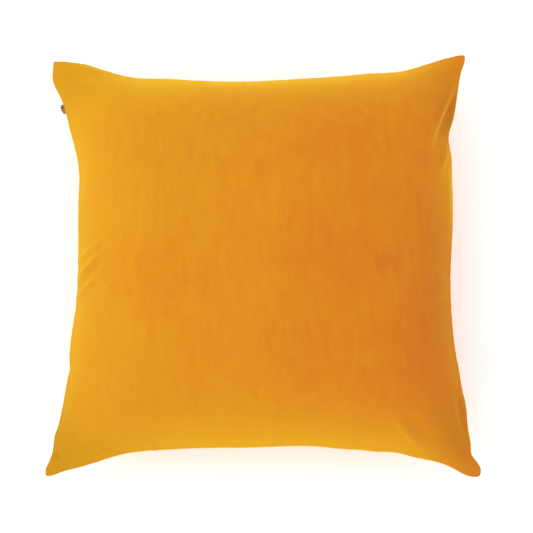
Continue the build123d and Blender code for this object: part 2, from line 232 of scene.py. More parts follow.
def seam_line(side, t):
    """Points on the seam along one side and the unit directions inwards, for t in -1..1.

    t is one line of values, or a row of them for each of many short lines.
    """
    fixed = {"left": -1.0, "right": 1.0, "bottom": -1.0, "top": 1.0}[side]
    edge = np.full_like(t, fixed)
    x, y = plan(edge, t) if side in ("left", "right") else plan(t, edge)
    points = np.stack([x, y, SEAM_Z + seam_lift(side, t)], -1)
    run = directions(points)
    turn = -fixed if side in ("left", "right") else fixed
    inward = turn * np.stack([run[..., 1], -run[..., 0], 0 * run[..., 0]], -1)
    return points, inward


# ---------------------------------------------------------------- meshes
def new_piece(name, points, faces, material, slot):
    """A smooth mesh object from its points and its arrays of faces, one array for each face shape."""
    mesh = bpy.data.meshes.new(name)
    mesh.from_pydata(points, [], [face for alike in faces for face in alike.tolist()])
    mesh.polygons.foreach_set("use_smooth", np.ones(len(mesh.polygons), bool))
    mesh.materials.append(material)
    mesh.update()
    piece = bpy.data.objects.new(name, mesh)
    bpy.context.scene.collection.objects.link(piece)
    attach(piece, "cushion")
    return piece


def grid_faces(rows, columns, start=0, flip=False, wrap=False):
    """Quads over a grid of points, optionally joined from its last column to its first."""
    index = np.arange(rows * columns).reshape(rows, columns) + start
    if wrap:
        index = np.concatenate([index, index[:, :1]], 1)
    a, b, c, d = index[:-1, :-1], index[1:, :-1], index[1:, 1:], index[:-1, 1:]
    quads = np.stack([a, b, c, d], -1).reshape(-1, 4)
    return quads[:, ::-1] if flip else quads


def rim_of(index):
    """The boundary of a grid of point numbers, as one loop."""
    return np.concatenate([index[:-1, 0], index[-1, :-1], index[:0:-1, -1], index[0, :0:-1]])


def shell_mesh(outer, inner, flip):
    """Points and faces of a closed sheet of cloth from its two skins."""
    rows, columns = outer.shape[:2]
    count = rows * columns
    index = np.arange(count).reshape(rows, columns)
    loop = rim_of(index)
    on = np.roll(loop, -1)
    rim = np.stack([loop, loop + count, on + count, on], -1)
    faces = [
        grid_faces(rows, columns, 0, flip),
        grid_faces(rows, columns, count, not flip),
        rim[:, ::-1] if flip else rim,
    ]
    return np.concatenate([outer.reshape(-1, 3), inner.reshape(-1, 3)]), faces


def pillow_mesh(front, back):
    """Points and faces of a closed form from a front and a back that share their rim."""
    rows, columns = front.shape[:2]
    index = np.arange(rows * columns).reshape(rows, columns)
    inside = np.ones((rows, columns), bool)
    inside[[0, -1], :] = inside[:, [0, -1]] = False
    back_index = index.copy()
    back_index[inside] = rows * columns + np.arange(inside.sum())
    a, b, c, d = back_index[:-1, :-1], back_index[1:, :-1], back_index[1:, 1:], back_index[:-1, 1:]
    faces = [grid_faces(rows, columns), np.stack([a, d, c, b], -1).reshape(-1, 4)]
    return np.concatenate([front.reshape(-1, 3), back[inside]]), faces


def tube_mesh(path, across, up, profile):
    """Closed bars with flat ends: a profile of (across, up) points carried along each path.

    A point is its path's point, plus its profile's first number times across, plus the second
    times up. path holds one line of points, or a line for each of many bars.
    """
    rings = (
        path[..., None, :] + profile[:, :1] * across[..., None, :]
        + profile[:, 1:] * up[..., None, :]
    )
    rows, columns = rings.shape[-3:-1]
    points = rings.reshape(-1, 3)
    size = rows * columns
    start = np.arange(0, len(points), size)[:, None, None]
    first_ring = np.arange(columns)
    ends = np.stack([first_ring[::-1], first_ring + size - columns])
    sides = grid_faces(rows, columns, wrap=True)
    return points, [(sides + start).reshape(-1, 4), (ends + start).reshape(-1, columns)]


def strand_mesh(path, radius, sides=5):
    """Closed round strands along paths: circles that stand across each path's own direction."""
    run = directions(path)
    guide = np.where(np.abs(run[..., 2:]) < 0.9, [0, 0, 1.0], [1.0, 0, 0])
    across = np.cross(run, guide)
    across /= np.linalg.norm(across, axis=-1, keepdims=True)
    angle = np.arange(sides) * 2 * math.pi / sides
    profile = radius * np.stack([np.cos(angle), np.sin(angle)], -1)
    return tube_mesh(path, across, np.cross(across, run), profile)


def joined(meshes):
    """Several (points, arrays of faces) as one."""
    points = [some for some, _ in meshes]
    starts = np.cumsum([0] + [len(some) for some in points[:-1]])
    faces = [alike + start for (_, arrays), start in zip(meshes, starts) for alike in arrays]
    return np.concatenate(points), faces


# ---------------------------------------------------------------- stuffing the cover
def crown(t):
    """Share of the crown's height at t in -1..1, full in the middle and steep at the seam.

    It is one less a quarter of t squared and three quarters of t to the sixth.
    """
    return 1 - 0.25 * t**2 - 0.75 * t**6


def stuffed_cover():
    """Front and back of the stuffed cover over a grid, their heights counted from the seam.

    Two square panels, sewn along their rims, are blown up by pressure while the seam is held on the
    cushion's outline. The springs' rest lengths are those of the flat cut, so cloth that the outline
    has no room for gathers beside the seam.
    """
    t = np.linspace(-1, 1, SIM_CELLS + 1)
    u, v = np.meshgrid(t, t, indexing="ij")
    x, y = plan(u, v)
    height = FRONT_RISE * crown(u) * crown(v)
    lift = seam_heights(u, v)
    front = np.stack([x, y, height + lift], -1)
    back = np.stack([x, y, lift - height], -1)
    points, faces = pillow_mesh(front, back)
    inside = (np.abs(u) < 1) & (np.abs(v) < 1)
    flat = np.stack([u * CUT_HALF, v * CUT_HALF, 0 * u], -1)
    cut = np.concatenate([flat.reshape(-1, 3), flat[inside]])
    mesh = bpy.data.meshes.new("stuffing")
    mesh.from_pydata(points, [], np.concatenate(faces))
    cover = bpy.data.objects.new("stuffing", mesh)
    bpy.context.scene.collection.objects.link(cover)
    cover.shape_key_add(name="Basis")
    rest = cover.shape_key_add(name="cut")
    rest.data.foreach_set("co", cut.astype(np.float32).ravel())
    held = cover.vertex_groups.new(name="seam")
    held.add(np.flatnonzero(~inside.ravel()).tolist(), 1.0, "REPLACE")
    cloth = cover.modifiers.new("stuffing", "CLOTH")
    settings = cloth.settings
    settings.rest_shape_key = rest
    settings.vertex_group_mass = "seam"
    settings.quality = 5
    settings.mass = 0.15
    settings.tension_stiffness = settings.compression_stiffness = 30
    settings.shear_stiffness = 12
    settings.bending_stiffness = 0.6
    settings.tension_damping = settings.compression_damping = settings.shear_damping = 5
    settings.bending_damping = 0.5
    settings.air_damping = 2
    settings.use_pressure = True
    settings.uniform_pressure_force = 3
    settings.effector_weights.gravity = 0
    cloth.collision_settings.use_collision = False
    cloth.collision_settings.use_self_collision = False
    cloth.point_cache.frame_end = SIM_FRAMES
    scene = bpy.context.scene
    scene.frame_end = SIM_FRAMES
    for step in range(1, SIM_FRAMES + 1):
        scene.frame_set(step)
    shaped = cover.evaluated_get(bpy.context.evaluated_depsgraph_get())
    placed = np.empty(len(points) * 3, np.float32)
    shaped.data.vertices.foreach_get("co", placed)
    placed = placed.reshape(-1, 3).astype(float)
    bpy.data.objects.remove(cover)
    bpy.data.meshes.remove(mesh)
    scene.frame_set(1)
    size = (SIM_CELLS + 1) ** 2
    front = placed[:size].reshape(front.shape)
    back = front.copy()
    back[inside] = placed[size:]
    return front, back


def seam_heights(u, v):
    """The seam's own height, spread over the grid and fading from the rim to the middle."""
    left_right = np.where(u < 0, seam_lift("left", v), seam_lift("right", v)) * np.abs(u) ** 4
    top_bottom = np.where(v < 0, seam_lift("bottom", u), seam_lift("top", u)) * np.abs(v) ** 4
    return left_right + top_bottom


def fine_lines():
    """Grid lines in -1..1 for the finished cloth, close together beside the seam."""
    edge = 1 - np.array(EDGE_ROWS) / HALF
    inner = np.linspace(-1, 1, FINE_CELLS + 1) * (edge[-1] - EDGE_STEP / HALF)
    return np.concatenate([-edge, inner, edge[::-1]])


def resampled(grid, lines):
    """A grid read at other lines by Catmull-Rom curves, which pass through its points."""
    last = grid.shape[0] - 1
    place = (lines + 1) / 2 * last
    first = np.clip(np.floor(place).astype(int), 0, last - 1)
    f = place - first
    weights = np.zeros((len(lines), last + 3))
    rows = np.arange(len(lines))
    weights[rows, first] = (-f + 2 * f**2 - f**3) / 2
    weights[rows, first + 1] = (2 - 5 * f**2 + 3 * f**3) / 2
    weights[rows, first + 2] = (f + 4 * f**2 - 3 * f**3) / 2
    weights[rows, first + 3] = (-(f**2) + f**3) / 2
    padded = np.concatenate([2 * grid[:1] - grid[1:2], grid, 2 * grid[-1:] - grid[-2:-1]])
    padded = np.concatenate(
        [2 * padded[:, :1] - padded[:, 1:2], padded, 2 * padded[:, -1:] - padded[:, -2:-1]], 1
    )
    return np.moveaxis(weights @ np.moveaxis(padded, 2, 0) @ weights.T, 0, 2)


def normals_of(grid):
    """Unit normals of a grid, from the cross product of its two directions."""
    cross = np.cross(np.gradient(grid, axis=0), np.gradient(grid, axis=1))
    return cross / np.maximum(np.linalg.norm(cross, axis=-1, keepdims=True), 1e-12)


# ---------------------------------------------------------------- sewn detail on the cloth
# folds in the front: their two ends, half width, and height, which is below zero for a crease
FRONT_FOLDS = [
    ((0.231, 0.214), (0.189, 0.120), 0.0052, 0.0036),
    ((0.230, 0.198), (0.202, 0.132), 0.0060, -0.0048),
    ((0.217, 0.134), (0.204, 0.094), 0.0028, 0.0022),
    ((0.2165, 0.108), (0.2145, 0.038), 0.0030, 0.0018),
    ((-0.206, -0.018), (-0.158, 0.012), 0.0036, 0.0030),
    ((-0.207, -0.042), (-0.184, -0.026), 0.0032, 0.0026),
    ((-0.203, 0.002), (-0.162, 0.024), 0.0032, 0.0022),
    ((-0.204, -0.028), (-0.168, -0.006), 0.0040, -0.0020),
    ((0.144, -0.178), (0.176, -0.208), 0.0046, 0.0036),
    ((0.160, -0.178), (0.186, -0.202), 0.0060, -0.0030),
    ((-0.166, -0.040), (-0.156, -0.030), 0.0040, 0.0020),
    ((0.222, -0.150), (0.230, -0.184), 0.0030, 0.0024),
    ((0.217, -0.158), (0.225, -0.196), 0.0030, -0.0020),
    ((0.227, -0.212), (0.216, -0.224), 0.0030, -0.0020),
    ((-0.222, -0.222), (-0.232, -0.212), 0.0028, -0.0026),
    ((-0.129, -0.197), (-0.115, -0.213), 0.0032, 0.0016),
    ((-0.178, -0.209), (-0.163, -0.215), 0.0030, 0.0014),
    ((-0.237, 0.236), (-0.176, 0.222), 0.0045, 0.0024),
    ((-0.231, 0.226), (-0.196, 0.213), 0.0050, -0.0024),
    ((-0.233, 0.206), (-0.214, 0.176), 0.0050, 0.0010),
    ((0.150, -0.214), (0.110, -0.207), 0.0040, -0.0010),
]


def folds(x, y, listed):
    """Height of all the folds: a bell curve across each line, and half a sine along it."""
    total = np.zeros_like(x)
    for (x0, y0), (x1, y1), width, height in listed:
        length = math.hypot(x1 - x0, y1 - y0)
        along = ((x - x0) * (x1 - x0) + (y - y0) * (y1 - y0)) / length**2
        away = ((x - x0) * (y1 - y0) - (y - y0) * (x1 - x0)) / length
        fade = np.sin(math.pi * np.clip((along + 0.15) / 1.3, 0, 1))
        total += height * bell(away, 0, width) * fade
    return total


def gathers(s, seed):
    """Uneven small waves along a seam: three sines whose lengths share no common measure."""
    turns = 2 * math.pi * s
    return (
        np.sin(turns / GATHER_LENGTHS[0] + seed)
        + 0.8 * np.sin(turns / GATHER_LENGTHS[1] + 2.1 * seed)
        + 0.7 * np.sin(turns / GATHER_LENGTHS[2] + 3.3 * seed)
    ) / 2.5


def dressed(grid, lines, sign):
    """The cloth with its sewn edge: gathers, a bead and a groove at the seam, and the zip's slit.

    Each is a bell curve or an exponential of the distance in from the seam. Gathers, bead and folds
    move the cloth along its normals, the groove and the blunted tips in the plane, the slit in Z.
    """
    u, v = np.meshgrid(lines, lines, indexing="ij")
    x, y = grid[..., 0], grid[..., 1]
    away_u, away_v = (1 - np.abs(u)) * HALF, (1 - np.abs(v)) * HALF
    grid = grid.copy()
    normal = normals_of(grid) * sign
    ridge = GATHER_HEIGHT * (
        gathers(y, 1.3 + np.sign(u)) * np.exp(-away_u / GATHER_REACH) * (1 - v**8)
        + gathers(x, 2.7 + np.sign(v)) * np.exp(-away_v / GATHER_REACH) * (1 - u**8)
    )
    near = np.minimum(away_u, away_v)
    ridge *= 1 - np.exp(-near / SMOOTH_SEAM)
    bead, bead_at, bead_width = SEAM_BEAD
    ridge += bead * bell(near, bead_at, bead_width)
    if sign > 0:
        ridge += folds(x, y, FRONT_FOLDS) * (1 - np.exp(-near / FOLD_START))
    grid += normal * ridge[..., None]
    groove, groove_width = SEAM_GROOVE
    for axis, away, side in ((0, away_u, u), (1, away_v, v)):
        grid[..., axis] -= np.sign(side) * groove * bell(away, 0, groove_width)
    grid[..., 2] += sign * slit_lift(grid[..., 1]) * bell(away_u, 0, LIP_REACH) * (u < 0)
    if sign < 0:
        peek = sum(much * bell(x, at, width) for at, width, much in BACK_PEEKS)
        grid[..., 1] -= peek * bell(away_v, *PEEK) * (v < 0)
    for (tip_u, tip_v), turned_in in TIP_BLUNTING.items():
        at_tip = (u * tip_u > 0) & (v * tip_v > 0)
        blunt = turned_in * np.exp(-(away_u + away_v) / TIP_REACH) * at_tip
        grid[..., 0] -= tip_u * blunt
        grid[..., 1] -= tip_v * blunt
    return grid


def slit_lift(y):
    """Half the slit's gap at a place along the zip side: a logistic step down at each bar tack."""
    return LIP_GAP / 2 / (1 + np.exp((np.abs(y) - OPENING_HALF) / LIP_CLOSING))


def rested(grid):
    """The back with its crown pressed flat on the floor: heights bend to zero along a parabola."""
    above = grid[..., 2] + SEAM_Z
    parabola = np.maximum(above + FLOOR_BEND, 0) ** 2 / (4 * FLOOR_BEND)
    bent = np.where(above > FLOOR_BEND, above, parabola)
    grid = grid.copy()
    grid[..., 2] = bent - SEAM_Z
    return grid


def lined(grid, sign, thickness, middle, lift):
    """The inner skin of a panel: the outer one moved in along its normals, short of the other.

    middle is the height where the two panels meet, and lift is what stays open between them.
    """
    inner = grid - sign * normals_of(grid) * thickness
    inner[..., 2] = middle + sign * np.maximum(sign * (inner[..., 2] - middle), lift)
    return inner


def raised(grid):
    """A grid counted from the seam's plane, in the frame's own heights."""
    return grid + np.array([0, 0, SEAM_Z])


def painted_seam_sheen(u, v):
    """How much painted highlight lies beside the seams: an exponential from each side.

    It dies out at the tips, and the +X side has one stretch of painted highlight of its own.
    """
    ends = {"left": 1 + u, "right": 1 - u, "bottom": 1 + v, "top": 1 - v}
    painted_sheen = sum(
        PAINTED_SEAM_SHEEN[side][0] * np.exp(-end * HALF / PAINTED_SEAM_SHEEN[side][1]) for side, end in ends.items()
    )
    painted_sheen *= 1 - TIP_FADE * (u * v) ** 4
    middle, along, inwards = PAINTED_SHEEN_STRETCH
    stretch = bell(v * HALF, middle, along) * np.exp(-(1 - u) * HALF / inwards)
    return np.clip(painted_sheen + stretch, 0, 1)


def painted_shade(x, y):
    """How much painted shade darkens the velvet: a sum of bell curves across and along."""
    patches = (
        much * bell(x, at[0], reach[0]) * bell(y, at[1], reach[1])
        for at, reach, much in PAINTED_SHADE_PATCHES
    )
    return np.clip(sum(patches), 0, 1)


def cover_panels(front, back):
    """The two velvet panels as closed sheets of cloth."""
    lines = fine_lines()
    u, v = np.meshgrid(lines, lines, indexing="ij")
    made = {}
    for name, grid, sign in (("front_velvet", front, 1), ("back_velvet", back, -1)):
        skin = dressed(resampled(grid, lines), lines, sign)
        if sign < 0:
            skin = rested(skin)
        slit = slit_lift(skin[..., 1]) * (u < -0.9)
        inner = lined(skin, sign, VELVET, seam_heights(u, v), slit)
        if sign < 0:
            inner[..., 2] = np.maximum(inner[..., 2], VELVET - SEAM_Z)
        points, faces = shell_mesh(raised(skin), raised(inner), sign < 0)
        made[name] = new_piece(name, points, faces, velvet, "cover_velvet")
        # the painted seam highlight and the painted shade patches, kept on the points for the
        # velvet's colour
        masks = {"painted_seam_sheen": painted_seam_sheen(u, v), "painted_shade": painted_shade(skin[..., 0], skin[..., 1])}
        for label, mask in masks.items():
            layer = made[name].data.attributes.new(label, "FLOAT", "POINT")
            layer.data.foreach_set("value", np.tile(mask.ravel(), 2))
    return made


def inner_cushion(front, back):
    """The stuffed inner cushion: two cotton panels and their filling, set in from the velvet.

    Its skins are the cover's, scaled in, moved in along their normals and brought together at the
    rim by the square root of one less the tenth power of each parameter.
    """
    lines = np.sin(np.linspace(-1, 1, INSERT_LINES) * math.pi / 2)
    share = 1 - INSERT_IN / HALF
    u, v = np.meshgrid(lines, lines, indexing="ij")
    closing = np.sqrt(np.maximum(1 - u**10, 0) * np.maximum(1 - v**10, 0))
    skins = {}
    for name, grid, sign in (("front", front, 1), ("back", rested(back), -1)):
        skin = resampled(grid, lines * share)
        skin -= sign * normals_of(skin) * (VELVET + INSERT_GAP)
        skin[..., 2] *= closing
        if sign < 0:
            skin[..., 2] = np.maximum(skin[..., 2], VELVET + INSERT_GAP - SEAM_Z)
        skins[name] = skin
    skins["back"][[0, -1]] = skins["front"][[0, -1]]
    skins["back"][:, [0, -1]] = skins["front"][:, [0, -1]]
    made, hollow = {}, {}
    for name, sign in (("front", 1), ("back", -1)):
        hollow[name] = lined(skins[name], sign, INSERT_CLOTH, 0.0, 0.0)
        points, faces = shell_mesh(raised(skins[name]), raised(hollow[name]), sign < 0)
        made[name] = new_piece(f"insert_{name}_cotton", points, faces, cotton, "insert_cotton")
    points, faces = pillow_mesh(raised(hollow["front"]), raised(hollow["back"]))
    made["filling"] = new_piece("fibre_filling", points, faces, fibre, "fibre")
    return made


# ---------------------------------------------------------------- threads and zip
def along_left(start, end, count):
    """Points of the zip side between two places along it, and the directions inwards."""
    return seam_line("left", np.linspace(start, end, count) / HALF)


def zip_tape(sign):
    """One woven tape: from the coil to its fold at the lip, round a half circle and back inside."""
    bend = np.linspace(-math.pi / 2, -3 * math.pi / 2, 9)
    middle, radius = (TAPE_LOW + TAPE_HIGH) / 2, (TAPE_HIGH - TAPE_LOW) / 2
    fold = np.stack([TAPE_FOLD + radius * np.cos(bend), middle + radius * np.sin(bend)], -1)
    line = np.concatenate([[[TAPE_START, TAPE_LOW]], fold, [[TAPE_EDGE, TAPE_HIGH]]])
    run = directions(line)
    side = np.stack([-run[:, 1], run[:, 0]], -1) * TAPE / 2
    profile = np.concatenate([line + side, (line - side)[::-1]]) * [1, sign]
    path, inward = along_left(-OPENING_HALF - TAPE_TAIL, OPENING_HALF + TAPE_TAIL, TAPE_STEPS)
    up = np.tile([0, 0, 1.0], (len(path), 1))
    return tube_mesh(path, inward, up, profile[::-1] if sign > 0 else profile)


def helix(path, inward, steps, middle, reach):
    """A flattened helix along a path: its places (in, up) are middle plus reach times (cos, sin)."""
    angle = np.arange(len(path)) * 2 * math.pi / steps
    line = path + inward * (middle[0] + reach[0] * np.cos(angle))[:, None]
    line[:, 2] += middle[1] + reach[1] * np.sin(angle)
    return line


def zip_coil(sign):
    """One row of the nylon coil: a flattened helix of fine wire along the zip."""
    turns = int(2 * COIL_END / COIL_PITCH)
    path, inward = along_left(-COIL_END, COIL_END, turns * COIL_STEPS)
    reach = (COIL_REACH[0], sign * COIL_REACH[1])
    line = helix(path, inward, COIL_STEPS, (COIL_IN, sign * COIL_UP), reach)
    return strand_mesh(line, COIL_WIRE, 4)


def stitch_row(side, start, end, pitch, depth, height):
    """A row of stitches along a side.

    Each is a strand that rises out of the cloth, lies along it and dives back.
    """
    first = start + np.arange(int((end - start) / pitch)) * pitch
    share = np.linspace(0, STITCH_SHARE, len(STITCH_RISE))
    path, inward = seam_line(side, (first[:, None] + share * pitch) / HALF)
    path = path + inward * depth
    path[..., 2] += height + np.array(STITCH_RISE) * THREAD * np.sign(height or 1)
    return strand_mesh(path, THREAD / 2, 4)


def sewn_shut(tip, zip_end):
    """The stretches of seam that are sewn shut: three sides, and the zip side beyond the zip."""
    whole = [(side, -tip, tip) for side in ("right", "top", "bottom")]
    return whole + [("left", -tip, -zip_end), ("left", zip_end, tip)]


def cover_stitches():
    """The lockstitch that joins the panels, all round but for the zip."""
    stretches = sewn_shut(STITCHED_TO, OPENING_HALF + TAPE_TAIL)
    return joined([stitch_row(*one, SEAM_STITCH, SEAM_STITCH_IN, 0) for one in stretches])


def overlock_threads():
    """The overlock: a flattened helix of thread round the raw edges of both allowances."""
    made = []
    middle = (SEAM_ALLOWANCE - OVERLOCK_IN, 0)
    for side, start, end in sewn_shut(OVERLOCKED_TO, OPENING_HALF + TAPE_TAIL + THREAD_GAP):
        count = max(int((end - start) / OVERLOCK_PITCH), 2) * OVERLOCK_STEPS
        path, inward = seam_line(side, np.linspace(start, end, count) / HALF)
        line = helix(path, inward, OVERLOCK_STEPS, middle, OVERLOCK_REACH)
        made.append(strand_mesh(line, OVERLOCK_THREAD, 4))
    return joined(made)


def tape_stitches():
    """The two rows that sew the tapes to the cover."""
    end = OPENING_HALF + TAPE_TAIL - THREAD_GAP
    height = TAPE_HIGH + TAPE / 2
    return joined([
        stitch_row("left", -end, end, TAPE_STITCH, TAPE_STITCH_IN, up) for up in (height, -height)
    ])


def bar_tacks():
    """The dense stitches that close the slit at both its ends, one tight zigzag each."""
    made = []
    half = TACK_LENGTH / 2
    for sign in (-1, 1):
        middle = sign * (OPENING_HALF - half)
        path, inward = along_left(middle - half, middle + half, TACK_TURNS)
        path = path + inward * TACK_IN
        path[:, 2] += np.where(np.arange(TACK_TURNS) % 2, TACK_SWING, -TACK_SWING)
        made.append(strand_mesh(path, THREAD / 2, 5))
    return joined(made)


# ---------------------------------------------------------------- materials
MIX_COLOURS = (6, 7)  # a mix node's sockets for colours, which share their names with others
MIX_RESULT = 2


def colour(red, green, blue):
    """A linear colour from the numbers 0..255 that a screen shows, by the sRGB curve."""
    shown = np.array([red, green, blue]) / 255
    linear = np.where(shown <= 0.04045, shown / 12.92, ((shown + 0.055) / 1.055) ** 2.4)
    return (*linear.tolist(), 1.0)


def group(name, inputs, outputs):
    """An empty node group with float inputs and the named outputs."""
    made = bpy.data.node_groups.new(name, "ShaderNodeTree")
    for label, value in inputs.items():
        socket = made.interface.new_socket(label, in_out="INPUT", socket_type="NodeSocketFloat")
        socket.default_value = value
    for label in outputs:
        made.interface.new_socket(label, in_out="OUTPUT", socket_type="NodeSocketFloat")
    return made, made.nodes.new("NodeGroupInput"), made.nodes.new("NodeGroupOutput")


def add(tree, kind, **settings):
    """A node of one kind with some of its properties set."""
    node = tree.nodes.new(kind)
    for label, value in settings.items():
        setattr(node, label, value)
    return node


def noise(tree, vector, scale, detail=2.0, rough=0.5):
    """A noise texture on a vector, its scale a number or a socket."""
    node = add(tree, "ShaderNodeTexNoise")
    tree.links.new(vector, node.inputs["Vector"])
    if isinstance(scale, (int, float)):
        node.inputs["Scale"].default_value = scale
    else:
        tree.links.new(scale, node.inputs["Scale"])
    node.inputs["Detail"].default_value = detail
    node.inputs["Roughness"].default_value = rough
    return node.outputs["Fac"]


def stretched(tree, vector, scale):
    """A vector scaled along its axes, for patterns that run one way."""
    node = add(tree, "ShaderNodeMapping")
    tree.links.new(vector, node.inputs["Vector"])
    node.inputs["Scale"].default_value = scale
    return node.outputs["Vector"]


def math_node(tree, operation, first, second):
    """A math node on two sockets or numbers."""
    node = add(tree, "ShaderNodeMath", operation=operation)
    for slot_number, value in enumerate((first, second)):
        if isinstance(value, (int, float)):
            node.inputs[slot_number].default_value = value
        else:
            tree.links.new(value, node.inputs[slot_number])
    return node.outputs[0]


def pile_group():
    """Velvet pile: slow shading where the nap leans, streaks along the cloth and the pile's grain."""
    tree, given, result = group(
        "pile", {"Nap Scale": 9.0, "Streak Scale": 130.0, "Grain Scale": 1100.0},
        ["Nap", "Grain"],
    )
    where = add(tree, "ShaderNodeTexCoord").outputs["Object"]
    slow = noise(tree, where, given.outputs["Nap Scale"], 3.0, 0.55)
    streak = noise(
        tree, stretched(tree, where, (1.0, 0.3, 1.0)), given.outputs["Streak Scale"], 2.0, 0.6
    )
    grain = noise(tree, where, given.outputs["Grain Scale"], 1.0, 0.6)
    both = math_node(tree, "MULTIPLY", slow, 0.5)
    both = math_node(tree, "ADD", both, math_node(tree, "MULTIPLY", streak, 0.5))
    tree.links.new(both, result.inputs["Nap"])
    tree.links.new(grain, result.inputs["Grain"])
    return tree


def weave_group():
    """Plain weave: warp and weft as two sets of ridges that pass over each other."""
    tree, given, result = group("weave", {"Threads Per Metre": 1800.0}, ["Height"])
    where = add(tree, "ShaderNodeTexCoord").outputs["Object"]
    split = add(tree, "ShaderNodeSeparateXYZ")
    tree.links.new(where, split.inputs[0])
    waves = []
    for axis in ("X", "Y"):
        turns = math_node(tree, "MULTIPLY", split.outputs[axis], given.outputs[0])
        turns = math_node(tree, "MULTIPLY", turns, 2 * math.pi)
        waves.append(math_node(tree, "SINE", turns, 0.0))
    over = math_node(tree, "MULTIPLY", waves[0], waves[1])
    height = math_node(tree, "ADD", math_node(tree, "MULTIPLY", over, 0.5), 0.5)
    tree.links.new(height, result.inputs["Height"])
    return tree


def use_group(tree, made, **values):
    """Places a node group with its own values."""
    node = add(tree, "ShaderNodeGroup", node_tree=made)
    for label, value in values.items():
        node.inputs[label.replace("_", " ")].default_value = value
    return node


def blank_material(name, **shader):
    """A material with a Principled shader, and its constant values set on the shader's sockets."""
    made = bpy.data.materials.new(name)
    made.use_nodes = True
    principled = made.node_tree.nodes["Principled BSDF"]
    for label, value in shader.items():
        principled.inputs[label.replace("_", " ")].default_value = value
    return made, made.node_tree, principled


def between(tree, mask, dark, light, blend="MIX"):
    """The socket of a mix of two colours, each a colour or a socket, by a mask."""
    mix = add(tree, "ShaderNodeMix", data_type="RGBA", blend_type=blend)
    tree.links.new(mask, mix.inputs["Factor"])
    for number, shade in zip(MIX_COLOURS, (dark, light)):
        if isinstance(shade, tuple):
            mix.inputs[number].default_value = shade
        else:
            tree.links.new(shade, mix.inputs[number])
    return mix.outputs[MIX_RESULT]


def stretch_mask(tree, value, low, high):
    """A value spread from low..high to 0..1, held at both ends."""
    node = add(tree, "ShaderNodeMapRange")
    tree.links.new(value, node.inputs["Value"])
    node.inputs["From Min"].default_value = low
    node.inputs["From Max"].default_value = high
    return node.outputs["Result"]


def bump(tree, principled, height, strength, distance):
    """A bump from a height into the shader's normal."""
    node = add(tree, "ShaderNodeBump")
    node.inputs["Strength"].default_value = strength
    node.inputs["Distance"].default_value = distance
    tree.links.new(height, node.inputs["Height"])
    tree.links.new(node.outputs["Normal"], principled.inputs["Normal"])


def velvet_material():
    """Golden velvet with painted light: yellower on the -X side where the light falls, browner on the
    +X side as painted shade.

    The ground mixes two shades, lit and in shade, by a painted light gradient across X and the nap's
    random patches. The seams carry a painted highlight of the sheen where light grazes them, patches
    are darker as painted shade, and a yellow sheen lies over all of it.
    """
    made, tree, principled = blank_material(
        "golden_velvet", Roughness=0.9, Sheen_Weight=1.0, Sheen_Roughness=0.42,
        Sheen_Tint=colour(255, 214, 52), Specular_IOR_Level=0.08,
    )
    pile = use_group(tree, pile_shading)
    split = add(tree, "ShaderNodeSeparateXYZ")
    tree.links.new(add(tree, "ShaderNodeTexCoord").outputs["Object"], split.inputs[0])
    # painted light: a gradient across X, lighter to -X where the light falls and darker to +X as
    # painted shade, plus the nap's patches
    slant = math_node(tree, "MULTIPLY", split.outputs["Y"], -LIGHT_SIDE_SLANT)
    across = math_node(tree, "ADD", split.outputs["X"], slant)
    side = stretch_mask(tree, across, -LIGHT_SIDE_SPAN, LIGHT_SIDE_SPAN)
    nap = math_node(tree, "MULTIPLY", pile.outputs["Nap"], NAP_UNEVENNESS)
    light_side_and_nap = math_node(tree, "SUBTRACT", math_node(tree, "ADD", side, nap), NAP_UNEVENNESS / 2)
    # the two shades are the painted light side (yellower) and the painted shade side (browner)
    ground = between(tree, light_side_and_nap, colour(215, 147, 26), colour(205, 110, 33))
    # painted highlight beside the seams: the velvet's sheen where light grazes the edges, painted
    # lighter and yellower
    seam = add(tree, "ShaderNodeAttribute", attribute_name="painted_seam_sheen").outputs["Fac"]
    painted_sheen = between(tree, seam, ground, colour(222, 160, 24))
    # painted shade: patches of the velvet darkened by multiplying its colour with grey
    flat = add(tree, "ShaderNodeAttribute", attribute_name="painted_shade").outputs["Fac"]
    shaded = between(tree, flat, painted_sheen, (0.76, 0.77, 0.8, 1.0), "MULTIPLY")
    tree.links.new(shaded, principled.inputs["Base Color"])
    grain = math_node(tree, "MULTIPLY", pile.outputs["Grain"], 0.6)
    height = math_node(tree, "ADD", grain, math_node(tree, "MULTIPLY", pile.outputs["Nap"], 0.8))
    bump(tree, principled, height, 0.3, 0.0005)
    return made


def woven_material(name, dark, light, threads, strength=0.4, rough=0.8):
    """A plain woven cloth or tape in two close shades."""
    made, tree, principled = blank_material(name, Roughness=rough, Specular_IOR_Level=0.2)
    cloth = use_group(tree, plain_weave, Threads_Per_Metre=threads)
    shade = between(tree, cloth.outputs["Height"], dark, light)
    tree.links.new(shade, principled.inputs["Base Color"])
    bump(tree, principled, cloth.outputs["Height"], strength, 0.0002)
    return made


def fibrous_material(name, dark, light, scale, rough=0.9):
    """Thread, nylon or loose fibre: fine streaks of two shades with a matching bump."""
    made, tree, principled = blank_material(name, Roughness=rough, Specular_IOR_Level=0.2)
    where = add(tree, "ShaderNodeTexCoord").outputs["Object"]
    streak = noise(tree, stretched(tree, where, (1.0, 1.0, 3.0)), scale, 3.0)
    shade = between(tree, stretch_mask(tree, streak, 0.35, 0.65), dark, light)
    tree.links.new(shade, principled.inputs["Base Color"])
    bump(tree, principled, streak, 0.3, 0.0003)
    return made


